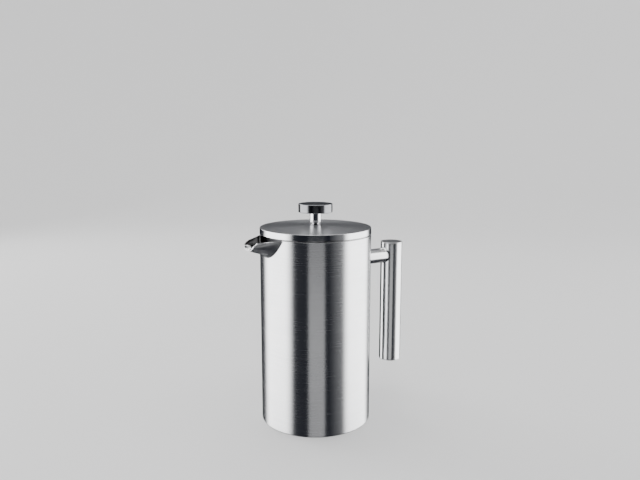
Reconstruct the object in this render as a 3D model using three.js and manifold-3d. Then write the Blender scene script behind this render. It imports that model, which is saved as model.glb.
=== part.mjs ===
// Insulated stainless-steel french press, one-litre size.
// Millimetres, +Z up. The origin is on the pot's axis, on the surface that it stands on.
// The handle points along +X and the spout along -X, so XZ is the plane of symmetry.

import * as THREE from 'three';
import { mergeVertices } from 'three/addons/utils/BufferGeometryUtils.js';
import Module from 'manifold-3d';

const wasm = await Module();
wasm.setup();

// Fits
const GAP = 0.3;              // between pieces that touch or are welded together
const ROD_CLEARANCE = 0.35;   // round the plunger rod, in everything it passes through
const PLUG_CLEARANCE = 0.9;   // lid plug in the mouth of the brewing vessel
const FILTER_CLEARANCE = 0.5; // filter edge to the vessel wall

// Pot
const BODY_R = 51;
const BODY_RIM_Z = 174.8;
const SHELL_WALL = 0.8;
const FOOT_EDGE = 0.6;        // rounding of the shell's lower edge
const FOOT_TURN = 2;          // how far the shell turns in under the pot
const BASE_SHEET = 0.8;
const BASE_BEAD_MARGIN = 3.7; // from the bottom cover's edge to the bead pressed in it
const BASE_BEAD_W = 12;
const BASE_BEAD_H = 1.6;
const JACKET = 3;             // insulating space between the two walls
const VESSEL_WALL = 0.7;
const VESSEL_FLOOR_Z = 8;
const VESSEL_CORNER = 6;
const RIM_SHEET = 0.6;
const RIM_OVERLAP = 0.4;      // how far the vessel's flange stays inside the shell's outside

// Spout, measured from the pot's axis and down from the rim of the body
const SPOUT_SHEET = 0.9;
const SPOUT_ROOT_W = 22.4;    // half width on the body
const SPOUT_ROOT_DEPTH = 17;
const SPOUT_ROOT_POWER = 2.4; // 2 is a parabola, more is fuller at the sides
const SPOUT_TOP_DROP = 0.3;   // below the rim of the shell
const MOUTH_W = 10;           // half width at the mouth
const MOUTH_DEPTH = 8;
const MOUTH_POWER = 0.7;      // 1 is half an ellipse, less is fuller at the sides
const MOUTH_DROP = 1.7;       // how far the mouth's corners lie below the spout's root
const MOUTH_CORNER_REACH = 13; // out from the body
const MOUTH_TIP_REACH = 17.4;
const MOUTH_LEAN_POWER = 4.4; // how suddenly the lip turns back at its corners
const NOTCH_MARGIN = 0.7;     // notch in the walls, inside the trough
const NOTCH_CUT_PAST = 5;     // how far the notch's cutter stands out past the body
const THROAT_SHEET = 0.7;

// Handle
const FINGER_GAP = 26.5;      // between the body and the grip
const HANDLE_R = 10.6;
const HANDLE_WALL = 1.2;
const HANDLE_L = 120.6;
const HANDLE_DROP = 14.6;     // from the rim of the body to the top of the grip
const CAP_T = 1;
const CAP_CHAMFER = 0.3;
const CAP_SPIGOT = 3;
const ARM_DROP = 27.6;        // from the rim of the body to the arm's axis
const ARM_R = 7.1;
const ARM_WALL = 1.2;

// Lid
const LID_OVERHANG = 0.2;     // past the body
const LID_SIDE_H = 5.4;
const LID_CROWN = 2.2;        // rise of the lid's top from its edge to its centre
const LID_SHEET = 0.8;
const LID_EDGE = 0.6;
const PLUG_DEPTH = 9;
const PLUG_SHEET = 0.7;
const PLUG_CORNER = 1.5;
const BUSH_R = 4.3;
const BUSH_COLLAR_R = 5.1;
const BUSH_COLLAR_H = 0.7;
const NUT_ACROSS_FLATS = 13;
const NUT_H = 3;

// Plunger
const ROD_R = 3;
const NECK_R = 5.1;
const NECK_H = 9.7;
const KNOB_R = 15.6;
const KNOB_T = 7.8;
const KNOB_EDGE = 0.5;
const KNOB_HOLE_DEPTH = 5;
const COLLAR_R = 5.6;
const COLLAR_H = 4;

// Filter, bottom to top
const FLOOR_CLEARANCE = 4;    // filter hub to the vessel's floor when pressed down
const HUB_FLANGE_R = 9;
const HUB_FLANGE_T = 1.2;
const HUB_R = 5;
const CROSS_PLATE_MARGIN = 4; // inside the filter's edge
const CROSS_PLATE_T = 0.9;
const CROSS_RIM_H = 1.4;      // upturned rim of the cross plate, below the screens
const CROSS_HOLES_INNER = 6;
const CROSS_HOLES_OUTER = 12;
const CROSS_CIRCLE_INNER = 0.28;    // way from the hub's flange to the plate's rim
const CROSS_CIRCLE_OUTER = 0.7;
const CROSS_HOLE_FILL_INNER = 0.32; // hole radius to the radius of its circle
const CROSS_HOLE_FILL_OUTER = 0.17;
const COARSE_SCREEN_T = 0.5;
const FINE_SCREEN_T = 0.4;
const SCREEN_LIP_H = 4;
const SPRING_PLATE_T = 0.8;
const SPRING_PLATE_HOLES = 8;
const SPRING_PLATE_CIRCLE = 0.62; // circle of its holes to its own radius
const SPRING_PLATE_HOLE_R = 2.3;
const SPRING_COIL_R = 1.6;

// Facets
const ROUND = 48;             // facets round the pot, the lid and the filter
const SMALL_ROUND = 24;
const HOLE_ROUND = 10;

const STEEL = 0xc9cacb;
const MATERIALS = {
  brushed: { color: STEEL, roughness: 0.34, metalness: 1 },
  satin: { color: 0xc2c3c5, roughness: 0.26, metalness: 1 },
  polished: { color: 0xd4d5d6, roughness: 0.1, metalness: 1 },
  inside: { color: 0xb9babc, roughness: 0.3, metalness: 1 },
  mesh: { color: 0xa8a9ab, roughness: 0.5, metalness: 1 },
};

// What follows from the sizes above
const vesselOuterR = BODY_R - SHELL_WALL - JACKET;
const vesselR = vesselOuterR - VESSEL_WALL;
const lidR = BODY_R + LID_OVERHANG;
const handleX = BODY_R + FINGER_GAP + HANDLE_R;
const handleTopZ = BODY_RIM_Z - HANDLE_DROP;
const handleBottomZ = handleTopZ - HANDLE_L;
const armZ = BODY_RIM_Z - ARM_DROP;
const flangeZ = BODY_RIM_Z + GAP;
const flangeTopZ = flangeZ + RIM_SHEET;
const lidZ = flangeTopZ + GAP;
const spoutSeatR = BODY_R + GAP;
const spoutTopZ = BODY_RIM_Z - SPOUT_TOP_DROP;
const boreR = ROD_R + ROD_CLEARANCE;
const plugR = vesselR - PLUG_CLEARANCE;
const lidCentreZ = LID_SIDE_H + LID_CROWN;
const collarTopZ = lidCentreZ + GAP + BUSH_COLLAR_H;
const neckZ = lidZ + collarTopZ + GAP;
const filterZ = VESSEL_FLOOR_Z + FLOOR_CLEARANCE;
const filterR = vesselR - FILTER_CLEARANCE;

// ---- Solids ---------------------------------------------------------------

// A closed surface of three.js as a solid that can be joined and cut.
function solid(geometry) {
  const bare = geometry.clone();
  bare.deleteAttribute('normal');
  bare.deleteAttribute('uv');
  const merged = mergeVertices(bare, 1e-4);
  const index = merged.index.array;
  const kept = [];
  for (let i = 0; i < index.length; i += 3) {
    const [a, b, c] = [index[i], index[i + 1], index[i + 2]];
    if (a !== b && b !== c && c !== a) kept.push(a, b, c);
  }
  const places = merged.attributes.position.array;
  if (signedVolume(places, kept) < 0) kept.reverse();
  return new wasm.Manifold(new wasm.Mesh({
    numProp: 3,
    vertProperties: Float32Array.from(places),
    triVerts: Uint32Array.from(kept),
  }));
}

function signedVolume(places, index) {
  const [a, b, c] = [new THREE.Vector3(), new THREE.Vector3(), new THREE.Vector3()];
  let volume = 0;
  for (let i = 0; i < index.length; i += 3) {
    a.fromArray(places, 3 * index[i]);
    b.fromArray(places, 3 * index[i + 1]);
    c.fromArray(places, 3 * index[i + 2]);
    volume += a.dot(b.cross(c)) / 6;
  }
  return volume;
}

// A named mesh of a solid.
function piece(name, shape, finish) {
  const { vertProperties, triVerts } = shape.getMesh();
  const geometry = new THREE.BufferGeometry();
  geometry.setAttribute('position', new THREE.BufferAttribute(vertProperties, 3));
  geometry.setIndex(new THREE.BufferAttribute(triVerts, 1));
  geometry.computeVertexNormals();
  const mesh = new THREE.Mesh(geometry, new THREE.MeshStandardMaterial(MATERIALS[finish]));
  mesh.name = name;
  return mesh;
}

// A profile of [radius, height] points turned about Z. It closes on itself, or on the axis.
function lathe(profile, segments) {
  const points = profile.map(([r, z]) => new THREE.Vector2(r, z));
  if (profile[0][0] > 0) points.push(points[0].clone());
  return new THREE.LatheGeometry(points, segments).rotateX(Math.PI / 2);
}

function turned(profile, segments) {
  return solid(lathe(profile, segments));
}

// A ring or a disc with square edges.
function ring(innerR, outerR, bottom, top, segments) {
  return turned([[innerR, bottom], [outerR, bottom], [outerR, top], [innerR, top]], segments);
}

// Points of a quarter round, from one angle to another in degrees about its centre.
function arc(centreR, centreZ, radius, from, to, steps = 4) {
  return Array.from({ length: steps + 1 }, (_, i) => {
    const angle = THREE.MathUtils.degToRad(from + (to - from) * i / steps);
    return [centreR + radius * Math.cos(angle), centreZ + radius * Math.sin(angle)];
  });
}

// A cylinder parallel to Z at x, y. Its flats, not only its corners, reach the radius.
function cutter(radius, bottom, top, segments, x = 0, y = 0) {
  const cornerR = radius / Math.cos(Math.PI / segments);
  const profile = [[0, bottom], [cornerR, bottom], [cornerR, top], [0, top]];
  return solid(lathe(profile, segments).translate(x, y, 0));
}

// ---- Pot ------------------------------------------------------------------

// The curve that the spout makes on the body: [y, z] from its top edges, t from -1 to 1 across it.
function rootCurve(halfWidth, depth, t) {
  return [halfWidth * t, -depth * (1 - Math.abs(t) ** SPOUT_ROOT_POWER)];
}

// That curve as a prism along -X, which reaches up past the rim.
function spoutPrism(halfWidth, depth, fromR, toR) {
  const steps = 16;
  const top = flangeTopZ + 1;
  const points = Array.from({ length: steps + 1 }, (_, i) => {
    const [y, z] = rootCurve(halfWidth, depth, 2 * i / steps - 1);
    return new THREE.Vector2(y, spoutTopZ + z);
  });
  points.push(new THREE.Vector2(halfWidth, top), new THREE.Vector2(-halfWidth, top));
  const prism = new THREE.ExtrudeGeometry(new THREE.Shape(points), {
    depth: toR - fromR, bevelEnabled: false,
  });
  prism.rotateX(Math.PI / 2).rotateZ(-Math.PI / 2).translate(-fromR, 0, 0);
  return solid(prism);
}

const notchW = SPOUT_ROOT_W - SPOUT_SHEET - NOTCH_MARGIN;
const notchDepth = SPOUT_ROOT_DEPTH - SPOUT_SHEET - NOTCH_MARGIN;

function outerShell() {
  const turnR = BODY_R - FOOT_TURN;
  const innerR = BODY_R - SHELL_WALL;
  const wall = turned([
    [turnR, 0],
    ...arc(BODY_R - FOOT_EDGE, FOOT_EDGE, FOOT_EDGE, -90, 0, 3),
    [BODY_R, BODY_RIM_Z],
    [innerR, BODY_RIM_Z],
    [innerR, SHELL_WALL + FOOT_EDGE],
    [innerR - FOOT_EDGE, SHELL_WALL],
    [turnR, SHELL_WALL],
  ], ROUND);
  return wall.subtract(spoutPrism(notchW, notchDepth, vesselR / 2, BODY_R + NOTCH_CUT_PAST));
}

function bottomCover() {
  const edgeR = BODY_R - FOOT_TURN - GAP;
  const beadR = edgeR - BASE_BEAD_MARGIN;
  const innerR = beadR - BASE_BEAD_W;
  const bead = [
    [beadR, 0],
    [beadR - BASE_BEAD_H, BASE_BEAD_H],
    [innerR + BASE_BEAD_H, BASE_BEAD_H],
    [innerR, 0],
  ];
  const upper = bead.map(([r, z]) => [r, z + BASE_SHEET]);
  return turned([
    [0, 0], ...bead.reverse(), [edgeR, 0], [edgeR, BASE_SHEET], ...upper, [0, BASE_SHEET],
  ], ROUND);
}

function innerVessel() {
  const floorR = vesselR - VESSEL_CORNER;
  const cornerZ = VESSEL_FLOOR_Z + VESSEL_CORNER;
  const flangeR = BODY_R - RIM_OVERLAP;
  const wall = turned([
    [0, VESSEL_FLOOR_Z - VESSEL_WALL],
    ...arc(floorR, cornerZ, VESSEL_CORNER + VESSEL_WALL, -90, 0),
    [vesselOuterR, flangeZ],
    [flangeR, flangeZ],
    [flangeR, flangeTopZ],
    [vesselR + RIM_SHEET, flangeTopZ],
    [vesselR, flangeTopZ - RIM_SHEET],
    ...arc(floorR, cornerZ, VESSEL_CORNER, 0, -90),
    [0, VESSEL_FLOOR_Z],
  ], ROUND);
  return wall.subtract(spoutPrism(notchW, notchDepth, vesselR / 2, BODY_R + NOTCH_CUT_PAST));
}

// Joins the two walls round the notch: a strip of the notch's own curve, between the faces.
function spoutThroat() {
  const outer = spoutPrism(notchW - GAP, notchDepth - GAP, vesselR / 2, BODY_R);
  const sheet = GAP + THROAT_SHEET;
  const inner = spoutPrism(notchW - sheet, notchDepth - sheet, vesselR / 2 - 1, BODY_R + 1);
  const between = ring(vesselR, BODY_R, 0, spoutTopZ, ROUND);
  return outer.subtract(inner).intersect(between);
}

// One point of the trough. t runs across it, from -1 to 1 with the keel at 0, and s runs along
// it, from the body at 0 to the mouth at 1. On the body the section is the root curve laid on
// the cylinder, at the mouth it is a full half ellipse that leans out, and between them it
// follows straight lines.
function troughPoint(s, t, sheet) {
  const [rootY, rootZ] = rootCurve(SPOUT_ROOT_W - sheet, SPOUT_ROOT_DEPTH - sheet, t);
  const rootX = Math.sqrt(spoutSeatR ** 2 - rootY ** 2);
  const turn = Math.PI / 2 * t;
  const level = Math.max(0, Math.cos(turn));
  const lean = 1 - (1 - level) ** MOUTH_LEAN_POWER;
  const reach = THREE.MathUtils.lerp(MOUTH_CORNER_REACH, MOUTH_TIP_REACH, lean);
  const mouthX = BODY_R + reach;
  const mouthY = (MOUTH_W - sheet) * Math.sin(turn);
  const mouthZ = -MOUTH_DROP - (MOUTH_DEPTH - sheet) * level ** MOUTH_POWER;
  return new THREE.Vector3(
    -THREE.MathUtils.lerp(rootX, mouthX, s),
    THREE.MathUtils.lerp(rootY, mouthY, s),
    spoutTopZ + THREE.MathUtils.lerp(rootZ, mouthZ, s),
  );
}

// A closed surface from rings of points: each ring is joined to the next, and the ends filled.
function loft(rings) {
  const count = rings[0].length;
  const index = [];
  for (let i = 0; i + 1 < rings.length; i++) {
    for (let j = 0; j < count; j++) {
      const [a, b] = [i * count + j, i * count + (j + 1) % count];
      index.push(a, b, b + count, a, b + count, a + count);
    }
  }
  const half = count / 2;
  const last = (rings.length - 1) * count;
  for (let j = 0; j + 1 < half; j++) {
    const [a, b, c, d] = [j, j + 1, count - 2 - j, count - 1 - j];
    index.push(a, c, b, a, d, c, last + a, last + b, last + c, last + a, last + c, last + d);
  }
  const geometry = new THREE.BufferGeometry().setFromPoints(rings.flat());
  geometry.setIndex(index);
  return solid(geometry);
}

function spout() {
  const along = 6;
  const across = 20;
  const rings = [];
  for (let i = 0; i <= along; i++) {
    const outside = [];
    const inside = [];
    for (let j = 0; j <= across; j++) {
      const t = 2 * j / across - 1;
      outside.push(troughPoint(i / along, t, 0));
      inside.unshift(troughPoint(i / along, t, SPOUT_SHEET));
    }
    rings.push([...outside, ...inside]);
  }
  return loft(rings);
}

// ---- Handle, in a frame of its own on the grip's axis -----------------------

function handleGrip() {
  const bottom = handleBottomZ + CAP_T + GAP;
  const top = handleTopZ - CAP_T - GAP;
  return ring(HANDLE_R - HANDLE_WALL, HANDLE_R, bottom, top, SMALL_ROUND);
}

// A disc over the tube's end, with a spigot inside the tube. It is drawn as the top cap.
function handleCap() {
  const spigotR = HANDLE_R - HANDLE_WALL - GAP;
  return turned([
    [0, -CAP_T - CAP_SPIGOT],
    [spigotR, -CAP_T - CAP_SPIGOT],
    [spigotR, -CAP_T],
    [HANDLE_R, -CAP_T],
    [HANDLE_R, -CAP_CHAMFER],
    [HANDLE_R - CAP_CHAMFER, 0],
    [0, 0],
  ], SMALL_ROUND);
}

// A tube from the body to the grip, its ends cut to fit round both.
function handleArm() {
  const innerR = ARM_R - ARM_WALL;
  const section = [[innerR, 0], [ARM_R, 0], [ARM_R, handleX], [innerR, handleX]];
  const tube = lathe(section, SMALL_ROUND).rotateY(-Math.PI / 2).translate(0, 0, armZ);
  const [low, high] = [armZ - 2 * ARM_R, armZ + 2 * ARM_R];
  const body = cutter(BODY_R + GAP, low, high, ROUND, -handleX);
  const grip = cutter(HANDLE_R + GAP, low, high, SMALL_ROUND);
  return solid(tube).subtract(body).subtract(grip);
}

// ---- Lid, in a frame of its own at the height of its lower edge -------------

// Height of the lid's top at a radius: a shallow bowl turned over.
function crownZ(r) {
  return LID_SIDE_H + LID_CROWN * (1 - (r / (lidR - LID_EDGE)) ** 2);
}

function crown(fromR, toR, drop, steps = 6) {
  return Array.from({ length: steps + 1 }, (_, i) => {
    const r = fromR + (toR - fromR) * i / steps;
    return [r, crownZ(r) - drop];
  });
}

function lidCap() {
  const holeR = BUSH_R + GAP;
  const innerR = lidR - LID_SHEET;
  const shoulderR = innerR - LID_EDGE;
  return turned([
    [lidR, 0],
    [lidR, LID_SIDE_H - LID_EDGE],
    ...crown(lidR - LID_EDGE, holeR, 0),
    ...crown(holeR, shoulderR, LID_SHEET),
    [innerR, LID_SIDE_H - LID_SHEET - LID_EDGE],
    [innerR, 0],
  ], ROUND);
}

// A pan below the lid: its wall plugs the vessel's mouth and its flange closes the lid.
function lidPan() {
  const flangeR = lidR - LID_SHEET - GAP;
  const holeR = BUSH_R + GAP;
  const innerR = plugR - PLUG_SHEET;
  const innerCorner = PLUG_CORNER - PLUG_SHEET;
  return turned([
    [holeR, -PLUG_DEPTH],
    ...arc(plugR - PLUG_CORNER, PLUG_CORNER - PLUG_DEPTH, PLUG_CORNER, -90, 0, 2),
    [plugR, 0],
    [flangeR, 0],
    [flangeR, PLUG_SHEET],
    [innerR, PLUG_SHEET],
    ...arc(innerR - innerCorner, PLUG_CORNER - PLUG_DEPTH, innerCorner, 0, -90, 2),
    [holeR, PLUG_SHEET - PLUG_DEPTH],
  ], ROUND);
}

// The rod's guide: a tube through the lid with a collar above it. The nut goes on its end.
function guideBush() {
  const collarZ = lidCentreZ + GAP;
  const end = -PLUG_DEPTH - GAP - NUT_H;
  return turned([
    [boreR, end], [BUSH_R, end], [BUSH_R, collarZ], [BUSH_COLLAR_R, collarZ],
    [BUSH_COLLAR_R, collarTopZ], [boreR, collarTopZ],
  ], SMALL_ROUND);
}

function bushNut() {
  const top = -PLUG_DEPTH - GAP;
  const cornerR = NUT_ACROSS_FLATS / 2 / Math.cos(Math.PI / 6);
  const hexagon = turned([[0, top - NUT_H], [cornerR, top - NUT_H], [cornerR, top], [0, top]], 6);
  return hexagon.subtract(cutter(BUSH_R + GAP, top - NUT_H - 1, top + 1, SMALL_ROUND));
}

// ---- Plunger, in a frame of its own at the underside of its neck ------------

function knobNeck() {
  return ring(boreR, NECK_R, 0, NECK_H, SMALL_ROUND);
}

function knobDisc() {
  const bottom = NECK_H + GAP;
  const top = bottom + KNOB_T;
  const hole = bottom + KNOB_HOLE_DEPTH;
  return turned([
    [boreR, bottom],
    [KNOB_R - KNOB_EDGE, bottom],
    [KNOB_R, bottom + KNOB_EDGE],
    [KNOB_R, top - KNOB_EDGE],
    [KNOB_R - KNOB_EDGE, top],
    [0, top],
    [0, hole],
    [boreR, hole],
    [boreR, bottom],
  ], ROUND);
}

function plungerRod() {
  const top = NECK_H + KNOB_HOLE_DEPTH;
  const bottom = filterZ - neckZ;
  return turned([[0, bottom], [ROD_R, bottom], [ROD_R, top], [0, top]], SMALL_ROUND);
}

// ---- Filter, in a frame of its own at the underside of its hub --------------

const crossPlateZ = HUB_FLANGE_T + GAP;
const coarseZ = crossPlateZ + CROSS_RIM_H + GAP;
const fineZ = coarseZ + COARSE_SCREEN_T + GAP;
const springPlateZ = fineZ + FINE_SCREEN_T + GAP;
const stackTopZ = springPlateZ + SPRING_PLATE_T;
const hubBoreR = HUB_R + GAP;
const springRingR = filterR - FINE_SCREEN_T - GAP - SPRING_COIL_R;
const springPlateR = springRingR - SPRING_COIL_R - GAP;
const crossPlateR = filterR - CROSS_PLATE_MARGIN;

function filterHub() {
  return turned([
    [boreR, 0], [HUB_FLANGE_R, 0], [HUB_FLANGE_R, HUB_FLANGE_T], [HUB_R, HUB_FLANGE_T],
    [HUB_R, stackTopZ], [boreR, stackTopZ],
  ], SMALL_ROUND);
}

// Cuts a circle of round holes through a plate.
function drilled(plate, count, circleR, holeR) {
  let left = plate;
  for (let i = 0; i < count; i++) {
    const angle = 2 * Math.PI * (i + 0.5) / count;
    const [x, y] = [circleR * Math.cos(angle), circleR * Math.sin(angle)];
    left = left.subtract(cutter(holeR, -1, stackTopZ + 1, HOLE_ROUND, x, y));
  }
  return left;
}

function crossPlate() {
  const innerRimR = crossPlateR - CROSS_PLATE_T;
  const plate = turned([
    [hubBoreR, crossPlateZ], [crossPlateR, crossPlateZ],
    [crossPlateR, crossPlateZ + CROSS_RIM_H], [innerRimR, crossPlateZ + CROSS_RIM_H],
    [innerRimR, crossPlateZ + CROSS_PLATE_T], [hubBoreR, crossPlateZ + CROSS_PLATE_T],
  ], ROUND);
  const innerCircleR = THREE.MathUtils.lerp(HUB_FLANGE_R, innerRimR, CROSS_CIRCLE_INNER);
  const outerCircleR = THREE.MathUtils.lerp(HUB_FLANGE_R, innerRimR, CROSS_CIRCLE_OUTER);
  const inner = drilled(plate, CROSS_HOLES_INNER, innerCircleR,
    innerCircleR * CROSS_HOLE_FILL_INNER);
  return drilled(inner, CROSS_HOLES_OUTER, outerCircleR,
    outerCircleR * CROSS_HOLE_FILL_OUTER);
}

function coarseScreen() {
  return ring(hubBoreR, crossPlateR, coarseZ, coarseZ + COARSE_SCREEN_T, ROUND);
}

// The fine screen turns up at its edge, outside the coil spring that presses it to the wall.
function fineScreen() {
  const lipR = filterR - FINE_SCREEN_T;
  return turned([
    [hubBoreR, fineZ], [filterR, fineZ], [filterR, fineZ + SCREEN_LIP_H],
    [lipR, fineZ + SCREEN_LIP_H], [lipR, fineZ + FINE_SCREEN_T],
    [hubBoreR, fineZ + FINE_SCREEN_T],
  ], ROUND);
}

function springPlate() {
  const plate = ring(hubBoreR, springPlateR, springPlateZ, stackTopZ, ROUND);
  return drilled(plate, SPRING_PLATE_HOLES, springPlateR * SPRING_PLATE_CIRCLE,
    SPRING_PLATE_HOLE_R);
}

// The space that the coil spring fills round the plate's edge.
function edgeSpring() {
  const centreZ = fineZ + FINE_SCREEN_T + GAP + SPRING_COIL_R;
  return turned(arc(springRingR, centreZ, SPRING_COIL_R, 0, 315, 7), ROUND);
}

function rodCollar() {
  const bottom = stackTopZ + GAP;
  return ring(boreR, COLLAR_R, bottom, bottom + COLLAR_H, SMALL_ROUND);
}

// ---- Assembly --------------------------------------------------------------

function group(z, ...children) {
  const made = new THREE.Group();
  made.position.z = z;
  made.add(...children);
  return made;
}

const pot = group(
  0,
  piece('outer_shell', outerShell(), 'brushed'),
  piece('bottom_cover', bottomCover(), 'satin'),
  piece('inner_vessel', innerVessel(), 'inside'),
  piece('spout_throat', spoutThroat(), 'inside'),
  piece('spout', spout(), 'satin'),
);

const topCap = piece('handle_top_cap', handleCap(), 'satin');
topCap.position.z = handleTopZ;
const bottomCap = piece('handle_bottom_cap', handleCap(), 'satin');
bottomCap.rotation.x = Math.PI;
bottomCap.position.z = handleBottomZ;
const handle = group(
  0,
  piece('handle_grip', handleGrip(), 'polished'),
  piece('handle_arm', handleArm(), 'polished'),
  topCap,
  bottomCap,
);
handle.position.x = handleX;

const lid = group(
  lidZ,
  piece('lid_cap', lidCap(), 'brushed'),
  piece('lid_pan', lidPan(), 'satin'),
  piece('guide_bush', guideBush(), 'polished'),
  piece('bush_nut', bushNut(), 'satin'),
);

const filter = group(
  filterZ - neckZ,
  piece('filter_hub', filterHub(), 'satin'),
  piece('cross_plate', crossPlate(), 'satin'),
  piece('coarse_screen', coarseScreen(), 'mesh'),
  piece('fine_screen', fineScreen(), 'mesh'),
  piece('spring_plate', springPlate(), 'satin'),
  piece('edge_spring', edgeSpring(), 'polished'),
  piece('rod_collar', rodCollar(), 'satin'),
);

const plunger = group(
  neckZ,
  piece('knob_disc', knobDisc(), 'brushed'),
  piece('knob_neck', knobNeck(), 'polished'),
  piece('plunger_rod', plungerRod(), 'polished'),
  filter,
);

const press = group(0, pot, handle, lid, plunger);

export default press;
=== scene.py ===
"""Insulated steel french press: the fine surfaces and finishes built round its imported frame."""

import math

import bpy
import bmesh
import numpy as np
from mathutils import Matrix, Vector


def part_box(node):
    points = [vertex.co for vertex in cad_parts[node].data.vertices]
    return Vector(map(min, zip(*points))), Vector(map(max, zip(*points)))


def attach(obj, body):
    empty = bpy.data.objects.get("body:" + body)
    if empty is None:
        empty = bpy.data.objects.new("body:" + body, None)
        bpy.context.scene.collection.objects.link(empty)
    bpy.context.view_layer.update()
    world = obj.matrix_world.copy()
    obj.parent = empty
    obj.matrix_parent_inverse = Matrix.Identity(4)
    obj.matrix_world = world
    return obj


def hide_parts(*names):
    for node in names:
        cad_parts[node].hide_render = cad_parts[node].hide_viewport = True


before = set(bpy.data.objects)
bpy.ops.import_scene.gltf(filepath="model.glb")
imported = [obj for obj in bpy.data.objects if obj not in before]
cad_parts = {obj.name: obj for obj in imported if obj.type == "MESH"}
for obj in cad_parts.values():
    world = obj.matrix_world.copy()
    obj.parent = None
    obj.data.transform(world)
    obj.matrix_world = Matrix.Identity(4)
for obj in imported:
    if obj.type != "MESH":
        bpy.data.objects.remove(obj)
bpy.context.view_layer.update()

bl_info = {
    "name": "French press",
    "version": (1, 0, 0),
    "blender": (4, 5, 0),
    "location": "3D View > Sidebar > French press",
    "description": "Builds the steel surfaces and finishes of an insulated french press",
    "category": "Add Mesh",
}

MM = 0.001
ROUND = 240          # steps round the pot and the lid
NOTCHED_ROUND = 360  # steps round the two walls that have the pouring notch
SMALL_ROUND = 96     # steps round the rod, the knob's neck and the handle
PLATE_ROUND = 288    # steps round the pierced plates, a multiple of their holes
ARC_STEPS = 5        # steps in a rounded edge
SHARP_ANGLE = math.radians(34)
SEAM = 0.05 * MM     # gap left where two pieces meet
LAP = 0.1 * MM       # how far a welded piece reaches into the one that it is welded to
BRUSHING = MM / 1000  # height of the brushing's relief
ACROSS_GRAIN = 0.25   # the quarter turn that spreads a highlight across the grain


# ---- Places read from the frame ---------------------------------------------


class Place:
    """A node's box at rest: its radius across Y, and its lowest and highest X and Z."""

    def __init__(self, node):
        low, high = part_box(node)
        self.r = (high.y - low.y) / 2
        self.x0, self.x1 = low.x, high.x
        self.z0, self.z1 = low.z, high.z
        self.h = high.z - low.z
        self.x = (low.x + high.x) / 2


shell = Place("outer_shell")
vessel = Place("inner_vessel")
cover = Place("bottom_cover")
spout = Place("spout")
grip = Place("handle_grip")
arm = Place("handle_arm")
top_cap = Place("handle_top_cap")
bottom_cap = Place("handle_bottom_cap")
lid_cap = Place("lid_cap")
lid_pan = Place("lid_pan")
bush = Place("guide_bush")
nut = Place("bush_nut")
knob = Place("knob_disc")
neck = Place("knob_neck")
rod = Place("plunger_rod")
collar = Place("rod_collar")
hub = Place("filter_hub")
cross_plate = Place("cross_plate")
coarse = Place("coarse_screen")
fine = Place("fine_screen")
spring_plate = Place("spring_plate")
coil = Place("edge_spring")


# ---- Settings ---------------------------------------------------------------


def length(name, description, default):
    return bpy.props.FloatProperty(
        name=name, description=description, default=default, unit="LENGTH", subtype="DISTANCE",
        precision=5,
    )


def number(name, description, default, low=0.0, high=1.0):
    return bpy.props.FloatProperty(
        name=name, description=description, default=default, min=low, max=high,
    )


def angle(name, description, degrees):
    return bpy.props.FloatProperty(
        name=name, description=description, default=math.radians(degrees), unit="ROTATION",
        subtype="ANGLE",
    )


def colour(name, description, default):
    return bpy.props.FloatVectorProperty(
        name=name, description=description, default=default, size=3, min=0, max=1,
        subtype="COLOR",
    )


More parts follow.
